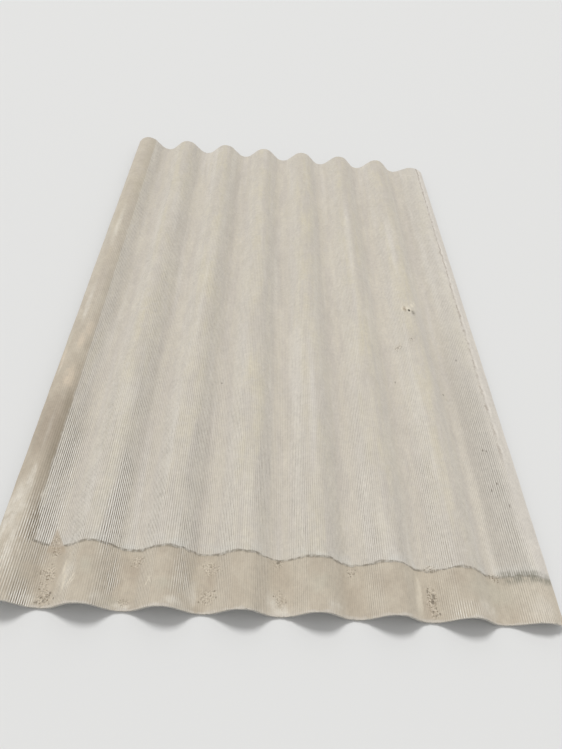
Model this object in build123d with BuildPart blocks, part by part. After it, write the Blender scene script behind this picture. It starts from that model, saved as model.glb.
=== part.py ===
from build123d import *
from math import asin, atan, cos, degrees, sin
import os

# Corrugated fibre-cement roofing sheet, one piece, formed wet and cut square at both ends.
# It lies flat as stored: waves along Y, width along X, +Z up. The origin is under the middle
# of the sheet, on the plane that its valleys rest on. Millimetres.

# The wave
wave_pitch = 150.0              # crest to crest
wave_height = 40.0              # rise of a full wave, measured on one face
low_wave_height = 24.0          # rise of the last wave, which goes under the next sheet's edge
wave_roundness = 0.5            # 0 would be a zigzag, 1 only arcs with no straight flank
thickness = 5.8
full_wave_count = 7             # one low wave more follows them

# The sheet
sheet_length = 1750.0
high_edge_reach = 37.0          # from the first crest out to the long edge that overlaps
low_edge_reach = 43.0           # from the low crest out to the long edge that is overlapped

# The nail hole, through the last full crest
nail_hole_diameter = 6.0
nail_hole_setback = 865.0       # from the near end

half_pitch = wave_pitch / 2
crest_heights = [wave_height] * full_wave_count + [low_wave_height]
sheet_width = high_edge_reach + full_wave_count * wave_pitch + low_edge_reach
first_crest_x = high_edge_reach - sheet_width / 2
nail_crest_x = first_crest_x + (full_wave_count - 1) * wave_pitch
nail_hole_y = nail_hole_setback - sheet_length / 2

TOP = 1
UNDERSIDE = -1


def wave_side(height):
    """Steepest slope in radians, centre-line bend radius and straight run, from crest to valley."""
    slope = atan(height / half_pitch) * (1 + wave_roundness)
    radius = (half_pitch * sin(slope) - height * cos(slope)) / (2 * (1 - cos(slope)))
    run = (height - 2 * radius * (1 - cos(slope))) / sin(slope)
    return slope, radius, run


def edge_line(face, crest, outwards, height, reach):
    """One face from an outer crest down to the long edge, and the point where it ends."""
    slope, radius, _ = wave_side(height)
    top_radius = radius + thickness / 2
    turn = min(slope, asin(min(1, reach / top_radius)))
    bend = JernArc(crest, (outwards, 0), radius + face * thickness / 2, -outwards * degrees(turn))
    if turn < slope:
        return bend @ 1
    flank_run = (reach - top_radius * sin(slope)) / cos(slope)
    flank = Line(bend @ 1, bend @ 1 + bend % 1 * flank_run)
    return flank @ 1


def valley_line(face, crest, height, next_height):
    """One face from a crest down through the valley and up to the next crest."""
    slope, radius, run = wave_side(height)
    crest_radius, valley_radius = radius + face * thickness / 2, radius - face * thickness / 2
    crest_bend = JernArc(crest, (1, 0), crest_radius, -degrees(slope))
    falling_flank = Line(crest_bend @ 1, crest_bend @ 1 + crest_bend % 1 * run)
    valley_bend = JernArc(falling_flank @ 1, falling_flank % 1, valley_radius, degrees(slope))

    slope, radius, run = wave_side(next_height)
    crest_radius, valley_radius = radius + face * thickness / 2, radius - face * thickness / 2
    rising_bend = JernArc(valley_bend @ 1, valley_bend % 1, valley_radius, degrees(slope))
    rising_flank = Line(rising_bend @ 1, rising_bend @ 1 + rising_bend % 1 * run)
    JernArc(rising_flank @ 1, rising_flank % 1, crest_radius, -degrees(slope))


def face_line(face):
    """One whole face of the section, and its two end points."""
    lift = thickness * (1 + face) / 2
    crests = [(first_crest_x + i * wave_pitch, height + lift) for i, height in enumerate(crest_heights)]
    for crest, height, next_height in zip(crests, crest_heights, crest_heights[1:]):
        valley_line(face, crest, height, next_height)
    high_end = edge_line(face, crests[0], -1, wave_height, high_edge_reach)
    low_end = edge_line(face, crests[-1], 1, low_wave_height, low_edge_reach)
    return high_end, low_end


with BuildPart() as corrugated_sheet:
    # The section is drawn at the far end and runs to the near end. Both faces follow the same
    # centre line, so the wall keeps its thickness, and the long edges are square to it.
    with BuildSketch(Plane.XZ.offset(-sheet_length / 2)) as section:
        with BuildLine() as section_outline:
            top_ends = face_line(TOP)
            under_ends = face_line(UNDERSIDE)
            Line(top_ends[0], under_ends[0])
            Line(top_ends[1], under_ends[1])
        make_face()
    extrude(amount=sheet_length)

    # The nail hole goes straight down through the crest.
    with Locations((nail_crest_x, nail_hole_y, wave_height + thickness)):
        Hole(nail_hole_diameter / 2, depth=2 * thickness)

corrugated_sheet.part.label = "corrugated_sheet"

os.makedirs("parts", exist_ok=True)
export_step(corrugated_sheet.part, "parts/corrugated_sheet.step")
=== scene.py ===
import bmesh
import bpy
import random
from math import atan, cos, pi, radians, sin, tan
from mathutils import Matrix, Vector


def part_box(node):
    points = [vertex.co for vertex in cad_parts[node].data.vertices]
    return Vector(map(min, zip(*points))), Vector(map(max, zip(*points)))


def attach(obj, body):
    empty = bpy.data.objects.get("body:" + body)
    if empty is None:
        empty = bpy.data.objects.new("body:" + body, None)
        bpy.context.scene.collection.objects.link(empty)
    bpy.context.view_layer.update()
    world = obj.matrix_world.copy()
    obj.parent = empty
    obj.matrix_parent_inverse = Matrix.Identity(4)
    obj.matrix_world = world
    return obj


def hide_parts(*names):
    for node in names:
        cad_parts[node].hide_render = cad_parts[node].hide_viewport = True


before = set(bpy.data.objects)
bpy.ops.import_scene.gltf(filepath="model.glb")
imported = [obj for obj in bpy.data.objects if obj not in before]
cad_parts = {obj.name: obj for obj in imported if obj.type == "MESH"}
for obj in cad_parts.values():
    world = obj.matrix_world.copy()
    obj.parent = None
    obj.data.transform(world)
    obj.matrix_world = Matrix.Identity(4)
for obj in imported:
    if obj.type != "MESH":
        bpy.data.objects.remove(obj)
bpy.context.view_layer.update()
bpy.ops.object.select_all(action="DESELECT")

# The view: from where the photograph was taken, standing at the near end and looking down along
# the waves. Its place and lens were worked out from the wave outlines at the sheet's two ends.
photo_height = 749          # pixels
focal_length = 542.2        # pixels
bpy.ops.object.camera_add(
    location=(-0.1127, -1.2009, 1.0930),
    rotation=(radians(40.667), radians(-5.946), radians(0.255)),
)
camera = bpy.context.object
camera.name = "view"
camera.data.lens = camera.data.sensor_width * focal_length / photo_height
bpy.context.scene.camera = camera

# The corrugated sheet: chrysotile cement laid up from thin wet films, grooved lengthwise on its
# face by the press, then laid on a corrugated form while still wet, and trimmed square at both
# ends once it had set. The nail hole was driven through the last full crest.

# Its sizes, in metres. The wave is the one that the solid has.
sheet_low, sheet_high = (Vector(corner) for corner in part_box("corrugated_sheet"))
sheet_length = sheet_high.y - sheet_low.y
near_end, far_end = sheet_low.y, sheet_high.y
wave_pitch = 0.150
wave_height = 0.040
low_wave_height = 0.024     # of the last wave, which goes under the next sheet's edge
wave_roundness = 0.5        # 0 would be a zigzag, 1 only arcs with no straight flank
thickness = 0.0058
high_edge_reach = 0.037     # from the first crest out to the long edge
low_edge_reach = 0.043      # from the low crest out to the other long edge
full_waves = 7
first_crest = sheet_low.x + high_edge_reach
nail_crest = first_crest + (full_waves - 1) * wave_pitch
nail_hole_y = near_end + 0.865
nail_hole_radius = 0.003
rib_count = 292
groove_share = 0.55         # of a rib's pitch, the rest is its flat top
groove_depth = 0.0005
film_count = 4              # layers that show on the cut edges
hair = 0.0001               # points this close to each other, or to an edge, are taken as one


def wave_side(height):
    """Steepest slope, bend radius and straight run of the centre line, from crest to valley."""
    slope = atan(height / (wave_pitch / 2)) * (1 + wave_roundness)
    radius = (wave_pitch / 2 * sin(slope) - height * cos(slope)) / (2 * (1 - cos(slope)))
    run = (height - 2 * radius * (1 - cos(slope))) / sin(slope)
    return slope, radius, run


def straight(knots, length):
    """Carry the form's line on, straight."""
    x, z, heading = knots[-1]["at"]
    knots[-1]["after"] = length / 3
    end = (x + length * cos(heading), z + length * sin(heading), heading)
    knots.append({"at": end, "before": length / 3, "after": 0})


def bend(knots, radius, turn):
    """Carry the form's line on along an arc, to the left where the turn is positive."""
    x, z, heading = knots[-1]["at"]
    side = radius if turn > 0 else -radius
    handle = radius * 4 / 3 * tan(abs(turn) / 4)
    knots[-1]["after"] = handle
    turned = heading + turn
    end = (x - side * (sin(heading) - sin(turned)), z + side * (cos(heading) - cos(turned)), turned)
    knots.append({"at": end, "before": handle, "after": 0})


# The form: the wave's centre line, from the high long edge to the low one.
slope, radius, run = wave_side(wave_height)
edge_run = (high_edge_reach - (radius + thickness / 2) * sin(slope)) / cos(slope)
edge_x = first_crest - radius * sin(slope) - edge_run * cos(slope)
edge_z = wave_height + thickness / 2 - radius * (1 - cos(slope)) - edge_run * sin(slope)
knots = [{"at": (edge_x, edge_z, slope), "before": 0, "after": 0}]
straight(knots, edge_run)
bend(knots, radius, -slope)
crest_heights = [wave_height] * full_waves + [low_wave_height]
for height, next_height in zip(crest_heights, crest_heights[1:]):
    slope, radius, run = wave_side(height)
    bend(knots, radius, -slope)
    straight(knots, run)
    bend(knots, radius, slope)
    slope, radius, run = wave_side(next_height)
    bend(knots, radius, slope)
    straight(knots, run)
    bend(knots, radius, -slope)
bend(knots, radius, -slope)
straight(knots, (low_edge_reach - (radius + thickness / 2) * sin(slope)) / cos(slope))

bpy.ops.curve.primitive_bezier_curve_add(rotation=(pi / 2, 0, 0))
form = bpy.context.object
form.data.dimensions = "2D"
form.data.resolution_u = 24
centre_line = form.data.splines[0]
centre_line.resolution_u = 24
centre_line.bezier_points.add(len(knots) - 2)
for point, knot in zip(centre_line.bezier_points, knots):
    x, z, heading = knot["at"]
    onward = Vector((cos(heading), sin(heading), 0))
    point.handle_left_type = point.handle_right_type = "FREE"
    point.co = (x, z, 0)
    point.handle_left = point.co - onward * knot["before"]
    point.handle_right = point.co + onward * knot["after"]
flat_width = centre_line.calc_length()
rib_pitch = flat_width / rib_count
film = thickness / film_count


def pick(kind, test):
    """Select what passes the test, and nothing else: verts, edges or faces of the piece at hand."""
    bpy.ops.mesh.select_mode(type={"verts": "VERT", "edges": "EDGE", "faces": "FACE"}[kind])
    bpy.ops.mesh.select_all(action="DESELECT")
    mesh = bmesh.from_edit_mesh(bpy.context.object.data)
    for item in getattr(mesh, kind):
        item.select = test(item)
    mesh.select_flush_mode()
    bmesh.update_edit_mesh(bpy.context.object.data)


# One rib of the flat wet sheet, as long as the sheet. Its rows lie closer near the cut ends and
# the nail hole.
end_steps = (0.0015, 0.004, 0.008, 0.014, 0.022, 0.034, 0.050)
hole_steps = (0.003, 0.007, 0.014)
middle_rows = 47
middle_step = (sheet_length - 2 * end_steps[-1]) / (middle_rows + 1)
bpy.ops.object.select_all(action="DESELECT")
bpy.ops.mesh.primitive_plane_add(size=1)
sheet = bpy.context.object
sheet.name = sheet.data.name = "weathered_sheet"
bpy.ops.object.mode_set(mode="EDIT")
bpy.ops.transform.resize(value=(rib_pitch, sheet_length, 1))
bpy.ops.transform.translate(value=(rib_pitch / 2, 0, thickness / 2))
rows = [near_end + step for step in end_steps] + [far_end - step for step in end_steps]
rows += [nail_hole_y + step * side for step in hole_steps for side in (-1, 1)]
rows += [near_end + end_steps[-1] + middle_step * (i + 1) for i in range(middle_rows)]
for y in rows:
    bpy.ops.mesh.select_all(action="SELECT")
    bpy.ops.mesh.bisect(plane_co=(0, y, 0), plane_no=(0, 1, 0))
for share in (groove_share / 2, groove_share):
    bpy.ops.mesh.select_all(action="SELECT")
    bpy.ops.mesh.bisect(plane_co=(share * rib_pitch, 0, 0), plane_no=(1, 0, 0))
pick("verts", lambda v: abs(v.co.x - groove_share / 2 * rib_pitch) < hair)
bpy.ops.transform.translate(value=(0, 0, -groove_depth))
bpy.ops.object.mode_set(mode="OBJECT")

# The ribs side by side make the sheet's face, and the films under it its thickness.
bpy.ops.object.modifier_add(type="ARRAY")
ribs = sheet.modifiers[-1]
ribs.count = rib_count
ribs.use_merge_vertices = True
ribs.merge_threshold = hair
bpy.ops.object.modifier_apply(modifier=ribs.name)
bpy.ops.object.mode_set(mode="EDIT")
bpy.ops.mesh.select_all(action="SELECT")
for layer in range(film_count):
    film_z = thickness / 2 - film * (layer + 1)
    bpy.ops.mesh.extrude_region_move(TRANSFORM_OT_translate={"value": (0, 0, -film)})
    bpy.ops.transform.resize(value=(1, 1, 0), center_override=(0, 0, film_z))
bpy.ops.mesh.select_all(action="SELECT")
bpy.ops.mesh.normals_make_consistent(inside=False)


def at_underside(v):
    return v.co.z < -thickness / 2 + film / 2


def between_ribs(v):
    return hair < v.co.x % rib_pitch < rib_pitch - hair


def along_a_groove(e):
    a, b = e.verts
    lengthwise = abs(a.co.x - b.co.x) < hair
    return lengthwise and all(at_underside(v) and between_ribs(v) for v in e.verts)


# The underside is plain, so the grooves' lines are taken out of it.
pick("edges", along_a_groove)
bpy.ops.mesh.dissolve_edges()
bpy.ops.object.mode_set(mode="OBJECT")

# While the sheet is flat, every face gets its finish, and a map in metres that follows the
# surface: across and along on the broad faces, round the rim and through the films on the edges.
FACE, EDGE, UNDERSIDE = range(3)
surface_map = sheet.data.uv_layers.new(name="surface").data
for polygon in sheet.data.polygons:
    upward = polygon.normal.z
    polygon.material_index = FACE if upward > 0.5 else UNDERSIDE if upward < -0.5 else EDGE
    for corner in polygon.loop_indices:
        x, y, z = sheet.data.vertices[sheet.data.loops[corner].vertex_index].co
        if polygon.material_index != EDGE:
            surface_map[corner].uv = (x, y)
        elif abs(polygon.normal.y) > 0.5:
            surface_map[corner].uv = (x, z)
        else:
            surface_map[corner].uv = (y, z)

# Trimming left the cut ends a little ragged, and flakes broke off their rims and corners.
random.seed(11)
rim_raggedness = 0.0004
corner_flakes = [(0, 0.010), (flat_width, 0.008)]
flakes_per_end = 30
smallest_flake = 0.001
largest_flake = 0.0035
flake_depth = 0.35          # of its size, into the sheet
bpy.ops.object.mode_set(mode="EDIT")
pick("verts", lambda v: min(v.co.y - near_end, far_end - v.co.y) < hair)
bpy.ops.transform.vertex_random(offset=rim_raggedness, uniform=1, seed=3)
pick("verts", lambda v: min(v.co.x, flat_width - v.co.x) < hair)
bpy.ops.transform.vertex_random(offset=rim_raggedness, uniform=1, seed=5)
for end, inwards in ((near_end, 1), (far_end, -1)):
    flakes = list(corner_flakes)
    for _ in range(flakes_per_end):
        flakes.append((random.uniform(0, flat_width), random.uniform(smallest_flake, largest_flake)))
    for across, size in flakes:
        place = Vector((across, end, thickness / 2))
        mesh = bmesh.from_edit_mesh(sheet.data)
        broken = min(mesh.verts, key=lambda v: (v.co - place).length_squared)
        pick("verts", lambda v: v == broken)
        bpy.ops.transform.translate(
            value=(0, inwards * size * flake_depth, 0),
            use_proportional_edit=True,
            proportional_edit_falloff="SPHERE",
            proportional_size=size,
        )
bpy.ops.object.mode_set(mode="OBJECT")

# The wet sheet takes the form's wave.
bpy.ops.object.modifier_add(type="CURVE")
wave = sheet.modifiers[-1]
wave.object = form
wave.deform_axis = "POS_X"
bpy.ops.object.modifier_apply(modifier=wave.name)
bpy.data.objects.remove(form)

# The nail broke out a ragged hole, wider at the top.
hole_foot = 0.92            # of the nail hole's radius
hole_flare = 1.25
hole_raggedness = 0.12
bpy.ops.mesh.primitive_cone_add(
    vertices=22,
    radius1=nail_hole_radius * hole_foot,
    radius2=nail_hole_radius * hole_flare,
    depth=3 * thickness,
    location=(nail_crest, nail_hole_y, wave_height + thickness / 2),
)
nail = bpy.context.object
bpy.ops.object.transform_apply(location=True, rotation=True, scale=True)
bpy.ops.object.mode_set(mode="EDIT")
bpy.ops.mesh.select_all(action="SELECT")
bpy.ops.transform.vertex_random(offset=nail_hole_radius * hole_raggedness, uniform=1, seed=8)
bpy.ops.object.mode_set(mode="OBJECT")
for polygon in nail.data.polygons:
    polygon.material_index = EDGE
bpy.ops.object.select_all(action="DESELECT")
bpy.context.view_layer.objects.active = sheet
sheet.select_set(True)
bpy.ops.object.modifier_add(type="BOOLEAN")
hole = sheet.modifiers[-1]
hole.object = nail
hole.operation = "DIFFERENCE"
hole.solver = "EXACT"
bpy.ops.object.modifier_apply(modifier=hole.name)
bpy.data.objects.remove(nail)
bpy.ops.object.shade_smooth_by_angle(angle=radians(12))

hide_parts("corrugated_sheet")
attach(sheet, "root")


# The sheet's finish. Places on it are in millimetres: across from the first crest, to the right,
# and along from the near end.
class Finish:
    """The nodes of a material or an effect, put down one by one."""

    def __init__(self, tree):
        self.tree = tree

    def node(self, kind, sources, output=0, **settings):
        """Put down one node. sources gives its inputs values, or other nodes' outputs."""
        made = self.tree.nodes.new("ShaderNode" + kind)
        for setting, value in settings.items():
            setattr(made, setting, value)
        self.feed(made, sources)
        return made.outputs[output]

    def effect(self, name, sources):
        """Put down a node group and give its outputs."""
        made = self.tree.nodes.new("ShaderNodeGroup")
        made.node_tree = bpy.data.node_groups[name]
        self.feed(made, sources)
        return made.outputs

    def feed(self, made, sources):
        """Give a node's inputs their values, or link them to other nodes' outputs."""
        for socket, source in sources.items():
            if isinstance(source, bpy.types.NodeSocket):
                self.tree.links.new(source, made.inputs[socket])
            else:
                made.inputs[socket].default_value = source

    def math(self, operation, a, b=0.0, c=0.0):
        return self.node("Math", {0: a, 1: b, 2: c}, operation=operation)

    def times(self, a, b):
        return self.math("MULTIPLY", a, b)

    def minus(self, a, b):
        return self.math("SUBTRACT", a, b)

    def scaled(self, value, scale, start):
        """start, and scale times the value on top of it."""
        return self.math("MULTIPLY_ADD", value, scale, start)

    def off(self, value, middle):
        """How far a value is from middle, to either side."""
        return self.math("ABSOLUTE", self.minus(value, middle))

    def most(self, masks):
        """The strongest of several masks."""
        strongest = masks[0]
        for mask in masks[1:]:
            strongest = self.math("MAXIMUM", strongest, mask)
        return strongest

    def fade(self, value, start, end, low=0.0, high=1.0):
        """Go smoothly from low to high while value goes from start to end."""
        sources = {"Value": value, "From Min": start, "From Max": end, "To Min": low, "To Max": high}
        return self.node("MapRange", sources, interpolation_type="SMOOTHSTEP")

    def weaker(self, mask, by, left=0.0):
        """The mask, with only this much of it left where the other mask is full."""
        return self.times(mask, self.fade(by, 0, 1, 1, left))

    def mix(self, amount, under, over, way="MIX"):
        """Lay one colour over another."""
        sources = {"Factor": amount, 6: under, 7: over}
        return self.node("Mix", sources, output=2, data_type="RGBA", blend_type=way)

    def stretch(self, vector, scale):
        return self.node("Mapping", {"Vector": vector, "Scale": scale})

    def parts(self, vector):
        """A vector's X, Y and Z."""
        return self.node("SeparateXYZ", {0: vector}).node.outputs[:]

    def noise(self, vector, size, detail=3.0, roughness=0.5):
        """Cloudy noise whose clouds are about as large as size, in the vector's own units."""
        sources = {"Vector": vector, "Scale": 1 / size, "Detail": detail, "Roughness": roughness}
        return self.node("TexNoise", sources)


def paint(red, green, blue):
    """A colour as a photograph gives it, 0 to 255, in the linear values that a shader takes."""
    linear = [((c / 255 + 0.055) / 1.055) ** 2.4 for c in (red, green, blue)]
    return (*linear, 1)


def new_effect(name, inputs, outputs):
    """A node group with named sockets, and the nodes that hold its inputs and outputs."""
    group = bpy.data.node_groups.new(name, "ShaderNodeTree")
    for socket, kind in inputs.items():
        group.interface.new_socket(socket, in_out="INPUT", socket_type="NodeSocket" + kind)
    for socket, kind in outputs.items():
        group.interface.new_socket(socket, in_out="OUTPUT", socket_type="NodeSocket" + kind)
    taken = group.nodes.new("NodeGroupInput").outputs
    given = group.nodes.new("NodeGroupOutput").inputs
    return Finish(group), taken, given


# Oval patch: 1 in its middle and 0 outside, for stains and worn places.
inside, taken, given = new_effect(
    "oval_patch",
    {"Plan": "Vector", "Centre": "Vector", "Half Size": "Vector", "Softness": "Float"},
    {"Mask": "Float"},
)
from_centre = inside.node("VectorMath", {0: taken["Plan"], 1: taken["Centre"]}, operation="SUBTRACT")
in_sizes = inside.node("VectorMath", {0: from_centre, 1: taken["Half Size"]}, operation="DIVIDE")
reach = inside.node("VectorMath", {0: in_sizes}, output="Value", operation="LENGTH")
mask = inside.fade(reach, 1, inside.minus(1, taken["Softness"]))
inside.tree.links.new(mask, given["Mask"])

# Cement grain: fine sand and fibre ends, mottled, as every surface of the sheet has.
inside, taken, given = new_effect(
    "cement_grain",
    {"Surface": "Vector", "Colour": "Color", "Mottling": "Float"},
    {"Colour": "Color", "Height": "Float"},
)
grains = inside.noise(taken["Surface"], 1.6, detail=3, roughness=0.65)
mottles = inside.noise(taken["Surface"], 9, detail=4, roughness=0.6)
blots = inside.noise(inside.stretch(taken["Surface"], (1, 0.6, 1)), 30, detail=4, roughness=0.8)
pits = inside.fade(inside.noise(taken["Surface"], 2.3, detail=1), 0.28, 0.22)
tone = inside.scaled(inside.minus(grains, 0.5), 0.32, 1)
tone = inside.scaled(inside.minus(mottles, 0.5), taken["Mottling"], tone)
tone = inside.scaled(inside.minus(blots, 0.5), taken["Mottling"], tone)
tone = inside.scaled(pits, -0.16, tone)
toned = inside.node("VectorMath", {0: taken["Colour"], "Scale": tone}, operation="SCALE")
inside.tree.links.new(toned, given["Colour"])
inside.tree.links.new(inside.scaled(pits, -0.6, grains), given["Height"])


def new_material(name, roughness):
    """A matt mineral surface, its shader, and its coordinates in millimetres."""
    material = bpy.data.materials.new(name)
    material.use_nodes = True
    finish = Finish(material.node_tree)
    shader = material.node_tree.nodes["Principled BSDF"]
    shader.inputs["Roughness"].default_value = roughness
    shader.inputs["Specular IOR Level"].default_value = 0.35
    spot = finish.node("TexCoord", {}, output="Object")
    plan_origin = (-first_crest * 1000, -near_end * 1000, 0)
    plan = finish.node("Mapping", {"Vector": spot, "Location": plan_origin, "Scale": (1000, 1000, 1000)})
    surface = finish.stretch(finish.node("UVMap", {}, uv_map="surface"), (1000, 1000, 1000))
    sheet.data.materials.append(material)
    return finish, shader, plan, surface


def finish_grain(finish, shader, surface, colour, mottling, bump):
    """Put the cement grain over a colour and give both to the shader."""
    grain = finish.effect("cement_grain", {"Surface": surface, "Colour": colour, "Mottling": mottling})
    relief = finish.node("Bump", {"Height": grain["Height"], "Strength": bump, "Distance": 0.0003})
    finish.tree.links.new(grain["Colour"], shader.inputs["Base Color"])
    finish.tree.links.new(relief, shader.inputs["Normal"])


# The weathered face.
face, shader, plan, surface = new_material("weathered_face", 0.82)
across, along, lift = face.parts(plan)
wander = face.node("TexNoise", {"Vector": plan, "Scale": 1 / 22, "Detail": 4.0}, output="Color")
wander = face.node("VectorMath", {0: wander, 1: (0.5, 0.5, 0.5)}, operation="SUBTRACT")


def drift(distance):
    """The plan with its outlines blown about by up to half this distance."""
    blown = face.node("VectorMath", {0: wander, "Scale": distance}, operation="SCALE")
    return face.node("VectorMath", {0: plan, 1: blown}, operation="ADD")


small_drift, middle_drift, broad_drift = drift(5), drift(13), drift(26)


def patch(middle, half_size, softness=0.6):
    """An oval patch of the face, its outline blown about by less the smaller it is."""
    narrowest = min(half_size)
    where = small_drift if narrowest < 8 else middle_drift if narrowest < 18 else broad_drift
    sources = {
        "Plan": where,
        "Centre": (*middle, 0),
        "Half Size": (*half_size, 1000),
        "Softness": softness,
    }
    return face.effect("oval_patch", sources)["Mask"]


def patches(places, softness):
    """Oval patches, each with its middle and its half sizes."""
    return face.most([patch(middle, half_size, softness) for middle, half_size in places])


# The face's colour: pale grey with warmer clouds, khaki on the crests, cool and pale streaks along the
# waves, and a painted highlight that lifts the flanks paler against their shade.
cool_cement = paint(199, 192, 180)
warm_cement = paint(207, 200, 187)
khaki_film = paint(204, 196, 176)
cool_film = paint(191, 184, 176)
grey_streak = paint(198, 191, 181)
pale_streak = paint(220, 215, 207)
smear_grey = paint(200, 194, 184)
flank_painted_highlight = paint(226, 221, 212)
darker_patch_grey = paint(182, 175, 164)
low_wave_flank_grey = paint(180, 174, 164)
clouds = face.noise(face.stretch(plan, (1, 0.35, 1)), 140, detail=4)
colour = face.mix(face.fade(clouds, 0.35, 0.65), cool_cement, warm_cement)
khaki = face.noise(face.stretch(plan, (1, 0.5, 1)), 60, detail=4, roughness=0.6)
khaki = face.times(face.fade(khaki, 0.35, 0.65, 0.25, 0.9), face.fade(lift, 6, 42, 0.2, 1))
khaki = face.times(khaki, face.fade(along, 120, 600, 0.6, 1))
colour = face.mix(khaki, colour, khaki_film)
cool_streaks = face.noise(face.stretch(surface, (1, 0.12, 1)), 26, detail=3)
colour = face.mix(face.fade(cool_streaks, 0.42, 0.62, 0, 0.5), colour, cool_film)
streaks = face.noise(face.stretch(surface, (1, 0.02, 1)), 9, detail=3)
colour = face.mix(face.fade(streaks, 0.3, 0.75, 0, 0.35), colour, grey_streak)
broad_streaks = face.noise(face.stretch(surface, (1, 0.06, 1)), 34, detail=2)
colour = face.mix(face.fade(broad_streaks, 0.5, 0.75, 0, 0.4), colour, pale_streak)
smears = face.noise(surface, 24, detail=3, roughness=0.6)
colour = face.mix(face.fade(smears, 0.5, 0.7, 0, 0.5), colour, smear_grey)
on_flank = face.fade(face.off(lift, 26), 20, 6)
# Painted highlight: the flanks are lifted paler, against the shade that falls on them.
colour = face.mix(face.times(on_flank, 0.3), colour, flank_painted_highlight)
# A long darker grey patch down the first wave's right flank.
colour = face.mix(face.times(patch((54, 360), (30, 180), 0.9), 0.6), colour, darker_patch_grey)
# Darker grey on the low wave's left flank, strongest towards the near end.
low_wave_flank = face.times(face.fade(across, 978, 996), face.fade(across, 1056, 1036))
low_wave_flank = face.times(low_wave_flank, face.fade(along, 450, 900, 0.6, 0.2))
colour = face.mix(low_wave_flank, colour, low_wave_flank_grey)

# Where the sheet on top of it ended: a line at the near end, a little askew and bowed, and one on
# the left, along the wave. Each outline wavers, and what lies outside it was bare.
near_line = 118.5           # its place along the sheet, at the first crest
near_line_slope = -0.0120   # there, to the right
near_line_bow = -0.0137e-3  # by which it bends
wobble = face.minus(face.noise(plan, 16, detail=3), 0.5)
tide = face.scaled(across, near_line_bow, near_line_slope)
tide = face.scaled(tide, across, near_line)
tide = face.scaled(wobble, 9, tide)
past_near = face.minus(along, tide)
near_strip = face.fade(past_near, 0.8, -0.8)
left_line = face.fade(along, 150, 200, 36, 26.5)
past_left = face.minus(across, face.scaled(wobble, 8, left_line))
left_strip = face.fade(past_left, 3, -2)

# Rain left the covered part palest just past that line.
rinsed_cement = paint(214, 215, 210)
rinsed = face.fade(past_near, 34, 3)
rinsed = face.times(rinsed, face.fade(face.noise(plan, 45, detail=3), 0.42, 0.6))
colour = face.mix(face.times(rinsed, 0.3), colour, rinsed_cement)

# Outside those lines the weather tanned it, in clouds.
dark_tan = paint(185, 174, 157)
pale_tan = paint(194, 184, 167)
tan_clouds = face.noise(face.stretch(broad_drift, (1, 0.7, 1)), 34, detail=4, roughness=0.6)
tanned = face.mix(face.fade(tan_clouds, 0.36, 0.64), dark_tan, pale_tan)

# There are brown and grey places in the tan, bleached and peach ones, and a muddy stretch.
brown_film = paint(179, 167, 150)
grey_film = paint(190, 184, 168)
bleached_tan = paint(215, 208, 195)
peach_tan = paint(207, 193, 173)
mud = paint(166, 154, 138)
brown_places = [
    ((42, 66), (24, 60)), ((196, 84), (30, 30)), ((238, 78), (30, 28)), ((338, 80), (28, 30)),
    ((392, 66), (34, 34)), ((720, 60), (26, 40)), ((795, 62), (4, 36)), ((882, 76), (36, 28)),
    ((1000, 78), (32, 20)), ((829, 24), (14, 32)), ((0, 390), (50, 130)), ((4, 960), (34, 170)),
    ((-4, 1370), (34, 140)),
]
grey_places = [
    ((150, 72), (26, 24)), ((600, 55), (42, 30)), ((300, 40), (30, 20)), ((960, 60), (110, 50)),
    ((205, 12), (38, 20)), ((345, 44), (26, 26)), ((-30, 640), (10, 90)), ((-26, 380), (8, 90)),
    ((-28, 1150), (10, 150)),
]
bleached_places = [
    ((116, 54), (24, 42)), ((352, 34), (15, 34)), ((503, 27), (15, 26)), ((180, 14), (20, 18)),
    ((938, 24), (34, 26)), ((525, 8), (44, 18)), ((1050, 24), (38, 40)), ((0, 100), (14, 70)),
    ((44, 15), (32, 13)), ((322, 11), (32, 13)), ((508, 24), (22, 26)), ((628, 16), (26, 14)),
    ((222, 8), (30, 8)), ((-14, 185), (26, 90)), ((-28, 150), (14, 110)), ((-3, 228), (14, 58)),
    ((-2, 262), (10, 28)), ((-1, 370), (6, 80)), ((-27, 580), (5, 60)), ((-10, 790), (10, 120)),
    ((-4, 1160), (12, 140)),
]
peach_places = [
    ((5, 528), (18, 50)), ((5, 650), (13, 54)), ((14, 696), (14, 46)), ((-28, 600), (8, 70)),
]
blotches = face.noise(face.stretch(plan, (1, 0.5, 1)), 14, detail=4, roughness=0.7)
brown = face.times(patches(brown_places, 0.9), face.fade(tan_clouds, 0.3, 0.7, 0.95, 0.45))
tanned = face.mix(brown, tanned, brown_film)
tanned = face.mix(face.times(patches(grey_places, 0.9), 0.6), tanned, grey_film)
bleached = face.times(patches(bleached_places, 0.9), face.fade(blotches, 0.36, 0.6, 0.45, 1))
tanned = face.mix(bleached, tanned, bleached_tan)
peach = face.times(patches(peach_places, 0.8), face.fade(blotches, 0.36, 0.6, 0.6, 1))
tanned = face.mix(peach, tanned, peach_tan)
muddy = face.most([
    patch((-4, 385), (60, 130), 0.8),
    patch((10, 440), (26, 40), 0.9),
    patch((-14, 325), (24, 50), 0.9),
])
tanned = face.mix(face.times(muddy, 0.7), tanned, mud)

# Dirt lies deepest along the left line, where the covering sheet's edge held the water.
silt_brown = paint(150, 139, 122)
silt = face.times(face.fade(past_left, -22, -9), face.fade(past_near, -20, 30))
silt_streaks = face.noise(face.stretch(plan, (1, 0.15, 1)), 26)
silt = face.times(silt, face.fade(silt_streaks, 0.3, 0.7, 0.75, 0.3))
silt = face.times(silt, face.fade(along, 440, 510, 1, 0.2))
silt = face.times(silt, face.fade(along, 120, 200, 0.45, 1))
tanned = face.mix(silt, tanned, silt_brown)
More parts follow.
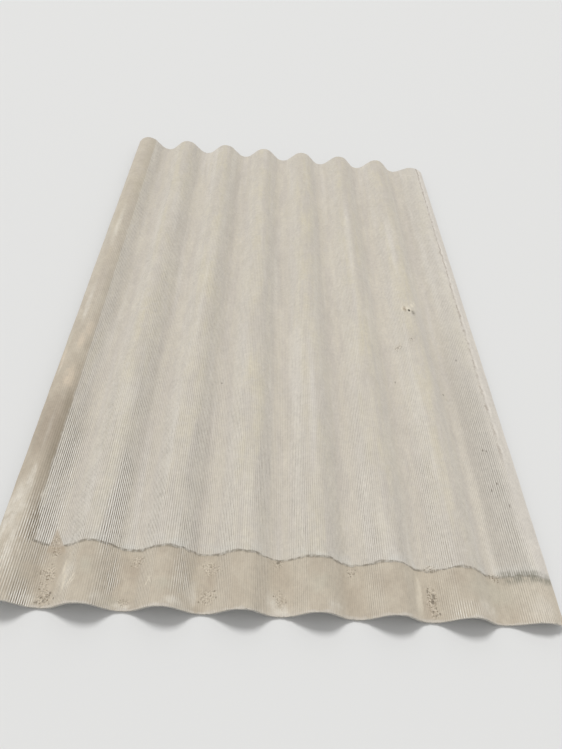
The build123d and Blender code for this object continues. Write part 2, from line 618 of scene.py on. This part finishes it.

# The cut rim is rubbed paler, and its arris bare, and the flanks in the near strip get a painted
# highlight against their shade.
rubbed_rim = paint(214, 206, 194)
bare_arris = paint(205, 199, 190)
strip_flank_highlight_tan = paint(207, 198, 182)
off_rim = face.scaled(wobble, 14, along)
rim = face.times(face.fade(off_rim, 12, 3), face.fade(tan_clouds, 0.5, 0.65, 0, 0.2))
tanned = face.mix(rim, tanned, rubbed_rim)
tanned = face.mix(face.fade(off_rim, 6, 1, 0, 0.6), tanned, bare_arris)
# Painted highlight on the near strip's flanks.
strip_flank_highlight = face.times(face.times(on_flank, near_strip), 0.4)
tanned = face.mix(strip_flank_highlight, tanned, strip_flank_highlight_tan)
left_tan = face.times(left_strip, face.fade(along, 480, 950, 1, 0.6))
colour = face.mix(face.most([near_strip, left_tan]), colour, tanned)

# Where it lies across a rib: 0 in the middle of a groove, 0.5 in the middle of the rib's top.
rib_share = face.math("FRACT", face.math("DIVIDE", face.parts(surface)[0], rib_pitch * 1000))
off_groove = face.off(rib_share, groove_share / 2)
off_groove = face.math("MINIMUM", off_groove, face.minus(1, off_groove))

# How patchy the grooves' dust and painted shade, and the ribs' rubbing and painted highlight, are,
# in small and in large.
patchiness = face.noise(face.stretch(surface, (1, 0.3, 1)), 5, detail=4, roughness=0.7)
patchiness = face.fade(patchiness, 0.36, 0.64, 0.45, 1.3)
broad_patchiness = face.noise(face.stretch(surface, (1, 0.4, 1)), 34, detail=2)
patchiness = face.times(patchiness, face.fade(broad_patchiness, 0.38, 0.6, 0.6, 1.15))

# In the strips silt has nearly filled the grooves, most in the left one and on its right flank.
filled = patch((42, 62), (30, 36), 0.9)
left_silt = face.times(left_strip, face.fade(past_near, -5, 5))
left_silt = face.times(left_silt, face.most([face.fade(along, 190, 280), face.fade(across, 9, 0)]))
near_silt = face.times(near_strip, face.fade(on_flank, 0, 1, 0.8, 0))

# The grooves between the ribs hold dust and painted shade, on the flanks more than elsewhere, and
# most at the left.
dust_and_shade = face.times(face.fade(on_flank, 0, 1, 0.3, 0.7), face.fade(across, 150, 650, 1, 0.55))
dust_and_shade = face.weaker(dust_and_shade, by=face.most([left_silt, near_silt]), left=0.15)
dust_and_shade = face.weaker(dust_and_shade, by=near_strip, left=0.65)
dust_and_shade = face.times(dust_and_shade, face.fade(along, 250, 700, 1, 0.5))
dust_and_shade = face.times(dust_and_shade, patchiness)
dust_and_shade = face.weaker(dust_and_shade, by=filled, left=0.35)

# The ribs' tops are rubbed pale and carry a painted highlight, most on the right flanks of the
# first waves.
rubbed_lit_places = [
    ((48, 210), (32, 330)), ((0, 50), (56, 75)), ((180, 170), (26, 190)), ((195, 60), (26, 70)),
    ((328, 60), (22, 70)),
]
rubbed_and_lit = patches(rubbed_lit_places, 0.8)
rubbed_and_lit = face.most([rubbed_and_lit, face.times(patch((18, 150), (22, 110), 0.8), 0.6)])
rubbed_and_lit = face.most([rubbed_and_lit, face.times(low_wave_flank, 0.12)])
rubbed_and_lit = face.weaker(rubbed_and_lit, by=near_strip, left=0.55)
rubbed_and_lit = face.most([rubbed_and_lit, patch((42, 8), (26, 26)), face.times(patch((890, 14), (40, 24)), 0.4)])
rubbed_and_lit = face.times(rubbed_and_lit, patchiness)
rubbed_and_lit = face.weaker(rubbed_and_lit, by=filled, left=0.25)
rubbed_and_lit = face.weaker(rubbed_and_lit, by=left_silt)
rubbed_and_lit = face.times(rubbed_and_lit, face.fade(face.times(left_strip, past_near), 0, 5, 1, 0.55))

# Painted shade and dust darken the grooves.
groove_dust_and_shade = paint(150, 142, 130)
rubbed_lit_rib = paint(244, 241, 234)
in_groove = face.times(face.fade(off_groove, 0.27, 0.05), face.scaled(rubbed_and_lit, 0.5, dust_and_shade))
colour = face.mix(in_groove, colour, groove_dust_and_shade, way="MULTIPLY")
# Painted highlight and rubbing pale the ribs' tops.
on_rib = face.scaled(rubbed_and_lit, 0.9, face.times(dust_and_shade, 0.6))
on_rib = face.times(face.fade(off_groove, 0.27, 0.39), on_rib)
colour = face.mix(on_rib, colour, rubbed_lit_rib)

# A wedge of the strip's colour runs up the first valley, past the near line.
wedge_brown = paint(182, 168, 149)
wedge_right = face.fade(face.scaled(along, 0.62, across), 165.5, 161.5)
wedge_left = face.fade(face.scaled(along, -0.15, across), 42.5, 46.5)
wedge = face.times(face.times(wedge_right, wedge_left), face.fade(along, 100, 108))
colour = face.mix(face.times(wedge, 0.7), colour, wedge_brown)

# Dirt settled along the near line, thickest at its right end, where moss took hold in it.
line_dirt = paint(126, 117, 102)
moss_grey = paint(136, 133, 121)
line_width = face.scaled(face.noise(plan, 30, detail=2), 6.5, -0.3)
dirt_line = face.fade(face.math("DIVIDE", face.off(past_near, 1.5), line_width), 1.3, 0.2)
dirt_line = face.times(dirt_line, face.fade(across, 26, 40))
dirt_line = face.times(dirt_line, face.fade(face.noise(plan, 9, detail=3), 0.35, 0.62, 0.3, 0.8))
dirt_line = face.times(dirt_line, face.fade(wedge, 0, 0.5, 1, 0))
colour = face.mix(dirt_line, colour, line_dirt)
moss = face.times(face.fade(past_near, -20, -3), face.fade(past_near, 17, 7))
moss = face.times(moss, face.fade(across, 975, 1005))
moss_tufts = face.noise(face.stretch(plan, (1, 0.4, 1)), 8, detail=4, roughness=0.6)
moss = face.times(moss, face.fade(moss_tufts, 0.35, 0.6, 0.25, 1))
moss = face.times(moss, face.fade(off_groove, 0.1, 0.35, 1, 0.65))
colour = face.mix(moss, colour, moss_grey)

# Grit in the valleys: dark and pale grains close together, and brown crumbs among them.
dark_grain = paint(142, 130, 112)
pale_grain = paint(218, 208, 192)
crumb_brown = paint(112, 100, 83)
gritty_places = [
    ((80, 106), (13, 13)), ((78, 62), (16, 26)), ((62, 64), (12, 12)), ((72, 38), (15, 14)),
    ((225, 15), (18, 12)), ((240, 92), (22, 17)), ((386, 84), (26, 20)), ((520, 103), (17, 12)),
    ((669, 91), (15, 12)), ((670, 92), (9, 9)), ((832, 40), (15, 42)), ((835, 103), (14, 8)),
    ((974, 92), (15, 13)), ((72, 126), (14, 22)), ((839, 104), (16, 11)), ((834, 15), (13, 13)),
    ((78, 16), (18, 26)),
]
less_gritty_places = [
    ((383, 30), (28, 24)), ((527, 32), (22, 26)), ((855, 734), (18, 20)), ((890, 746), (16, 17)),
]
gritty = face.most([face.times(patches(less_gritty_places, 0.9), 0.55), patches(gritty_places, 0.9)])
grains = face.noise(small_drift, 3.2, detail=1)
dark_grains = face.times(face.fade(grains, 0.53, 0.62), face.fade(gritty, 0, 0.6, 0, 0.55))
colour = face.mix(dark_grains, colour, dark_grain)
pale_grains = face.times(face.fade(grains, 0.46, 0.37), face.fade(gritty, 0, 0.6, 0, 0.5))
colour = face.mix(pale_grains, colour, pale_grain)
crumbs = face.node("TexVoronoi", {"Vector": small_drift, "Scale": 1 / 4.0}).node.outputs
chance, shade, size = face.parts(crumbs["Color"])
crumb = face.math("DIVIDE", crumbs["Distance"], face.fade(size, 0, 1, 0.25, 0.6))
crumb = face.fade(crumb, 1.1, 0.6)
crumb = face.times(crumb, face.fade(face.minus(gritty, chance), -0.02, 0.08))
crumb = face.times(crumb, face.fade(shade, 0.7, 0.3, 0, 0.65))
colour = face.mix(crumb, colour, crumb_brown)

# Single specks of dirt, scattered over the rest.
speck_brown = paint(112, 104, 92)
specks = [
    ((371, 569), (3, 4)), ((834, 614), (2, 5)), ((960, 580), (3, 5)), ((1017, 700), (2, 5)),
    ((1020, 400), (3, 5)), ((1027, 396), (2, 4)), ((1030, 308), (2, 5)), ((1043, 250), (2, 6)),
    ((1016, 292), (2, 6)), ((521, 106), (5, 4)), ((836, 50), (4, 7)), ((833, 40), (4, 6)),
    ((826, 60), (3, 6)), ((79, 13), (3, 4)), ((84, 20), (3, 3)), ((74, 18), (2, 3)),
    ((88, 27), (3, 4)), ((98, 16), (2, 3)), ((68, 10), (3, 3)), ((831, 20), (3, 4)),
    ((838, 27), (2, 4)), ((836, 12), (3, 3)), ((843, 16), (2, 3)),
]
colour = face.mix(face.times(patches(specks, 0.6), 0.65), colour, speck_brown)


def scratch(across_foot, along_foot, lean, rise, width):
    """A scratch that rises from its foot along the sheet, and leans to the right by lean."""
    upright = face.scaled(along, -lean / rise, across)
    inked = face.fade(face.off(upright, across_foot - along_foot * lean / rise), width, width * 0.3)
    inked = face.times(inked, face.fade(along, along_foot, along_foot + 5))
    return face.times(inked, face.fade(along, along_foot + rise, along_foot + rise - 5))


# Streaks worn through to the pale cement, and thin scratches.
scratched_cement = paint(226, 217, 199)
scratches = [
    scratch(119, 30, 15, 27, 2.0), scratch(126, 33, 9, 14, 1.6), scratch(262, 38, 12, 22, 1.8),
    scratch(276, 42, -9, 18, 1.6),
]
worn_places = [
    ((106, 72), (5, 22)), ((113, 42), (5, 24)), ((807, 50), (9, 56)), ((802, 40), (13, 44)),
]
worn = face.most([*scratches, patches(worn_places, 0.8)])
colour = face.mix(face.times(worn, 0.6), colour, scratched_cement)

# The low edge, which the next sheet covered, is paler, and broken lines of dirt and of rubbed
# cement mark where that sheet's edge lay.
covered_cement = paint(217, 211, 203)
low_edge = face.times(face.fade(across, 1056, 1066), face.fade(past_near, -4, 4))
colour = face.mix(face.times(low_edge, 0.4), colour, covered_cement)
beside = face.scaled(wobble, 16, face.scaled(along, -0.008, across))
dashes = face.noise(face.stretch(plan, (0.2, 1, 1)), 34, detail=5, roughness=0.75)
dashes = face.math("ADD", dashes, face.fade(along, 600, 1100, 0, 0.07))
lap_lines = [
    {"across": 1055, "width": 4, "strength": 0.55, "colour": paint(146, 132, 118)},
    {"across": 1063, "width": 5, "strength": 0.6, "colour": paint(228, 222, 213)},
]
for lap_line in lap_lines:
    mark = face.fade(face.off(beside, lap_line["across"]), lap_line["width"], 1)
    mark = face.times(mark, face.fade(dashes, 0.4, 0.64, 0, lap_line["strength"]))
    mark = face.times(mark, face.fade(along, 320, 430))
    colour = face.mix(mark, colour, lap_line["colour"])

# Round the nail hole: crumbled pale cement, two smudges, of rust and of dirt, and painted shade at
# its mouth.
fresh_cement = paint(224, 216, 198)
rust_brown = paint(158, 144, 124)
dirt_grey = paint(136, 130, 119)
hole_shade = paint(96, 88, 78)
hole_x = (nail_crest - first_crest) * 1000
hole_y = (nail_hole_y - near_end) * 1000
crumbled = [
    patch((hole_x + 1, hole_y + 5), (20, 24), 0.9),
    patch((hole_x - 17, hole_y + 10), (6, 14)),
    patch((hole_x + 12, hole_y + 24), (8, 10)),
    patch((hole_x + 23, hole_y + 37), (5, 10)),
]
colour = face.mix(face.times(face.most(crumbled), 0.8), colour, fresh_cement)
smudged = face.fade(face.noise(small_drift, 5, detail=4, roughness=0.7), 0.35, 0.6, 0.35, 0.95)
rust = face.times(patch((hole_x - 12, hole_y + 7), (8, 17), 0.9), smudged)
colour = face.mix(rust, colour, rust_brown)
dirt = face.times(patch((hole_x + 13, hole_y - 7), (9, 16), 0.9), smudged)
colour = face.mix(dirt, colour, dirt_grey)
# Painted shade at the hole's mouth.
colour = face.mix(patch((hole_x, hole_y), (5, 6), 0.4), colour, hole_shade)

finish_grain(face, shader, surface, colour, 0.3, 0.5)

# The cut edges: the pressed films show as fine layers, greyer than the face.
dark_layer = paint(172, 168, 159)
pale_layer = paint(208, 204, 195)
edge, shader, plan, surface = new_material("cut_edge", 0.9)
layers = edge.noise(edge.stretch(surface, (0.05, 1, 1)), 0.9, detail=2)
colour = edge.mix(edge.fade(layers, 0.35, 0.65), dark_layer, pale_layer)
finish_grain(edge, shader, surface, colour, 0.12, 0.6)

# The underside: smoother, clean grey, with a few pale drips, and the weave of the felt that
# carried the wet film.
dark_grey = paint(176, 172, 163)
pale_grey = paint(190, 186, 177)
weave_grey = paint(158, 154, 145)
drip_grey = paint(196, 191, 180)
under, shader, plan, surface = new_material("felt_side", 0.88)
clouds = under.noise(under.stretch(plan, (1, 0.4, 1)), 120, detail=4)
colour = under.mix(under.fade(clouds, 0.3, 0.7), dark_grey, pale_grey)
warp = under.noise(under.stretch(surface, (1, 0.2, 1)), 1.3, detail=1)
weft = under.noise(under.stretch(surface, (0.2, 1, 1)), 1.3, detail=1)
weave = under.fade(under.math("ADD", warp, weft), 0.85, 1.15, 0, 0.4)
colour = under.mix(weave, colour, weave_grey)
drips = under.noise(under.stretch(surface, (1, 0.05, 1)), 18, detail=3)
colour = under.mix(under.fade(drips, 0.5, 0.75, 0, 0.35), colour, drip_grey)
finish_grain(under, shader, surface, colour, 0.2, 0.5)


# The studio: a plain pale floor, a broad soft key lamp high over the far end, and a pale sky that
# is seen a little brighter than it lights.
floor_grey = (0.74, 0.74, 0.73, 1)
sky_light = 0.54
sky_seen = 0.76
bpy.ops.mesh.primitive_plane_add(size=14)
floor = bpy.context.object
floor.name = "floor"
floor_paint = bpy.data.materials.new("pale_floor")
floor_paint.use_nodes = True
shader = floor_paint.node_tree.nodes["Principled BSDF"]
shader.inputs["Base Color"].default_value = floor_grey
shader.inputs["Roughness"].default_value = 0.9
floor.data.materials.append(floor_paint)

bpy.ops.object.light_add(type="SUN", location=(-0.8, 2.0, 3.4))
key = bpy.context.object
key.name = "key_lamp"
key.data.angle = radians(16)
key.data.energy = 1.8
key.rotation_euler = (-key.location).to_track_quat("-Z", "Y").to_euler()

world = bpy.data.worlds.new("studio")
bpy.context.scene.world = world
world.use_nodes = True
sky = Finish(world.node_tree)
rays = world.node_tree.nodes.new("ShaderNodeLightPath").outputs
seen = sky.most([rays["Is Camera Ray"], rays["Is Glossy Ray"], rays["Is Transmission Ray"]])
background = world.node_tree.nodes["Background"]
background.inputs["Color"].default_value = (1, 1, 1, 1)
world.node_tree.links.new(sky.fade(seen, 0, 1, sky_light, sky_seen), background.inputs["Strength"])
bpy.context.scene.view_settings.view_transform = "Standard"
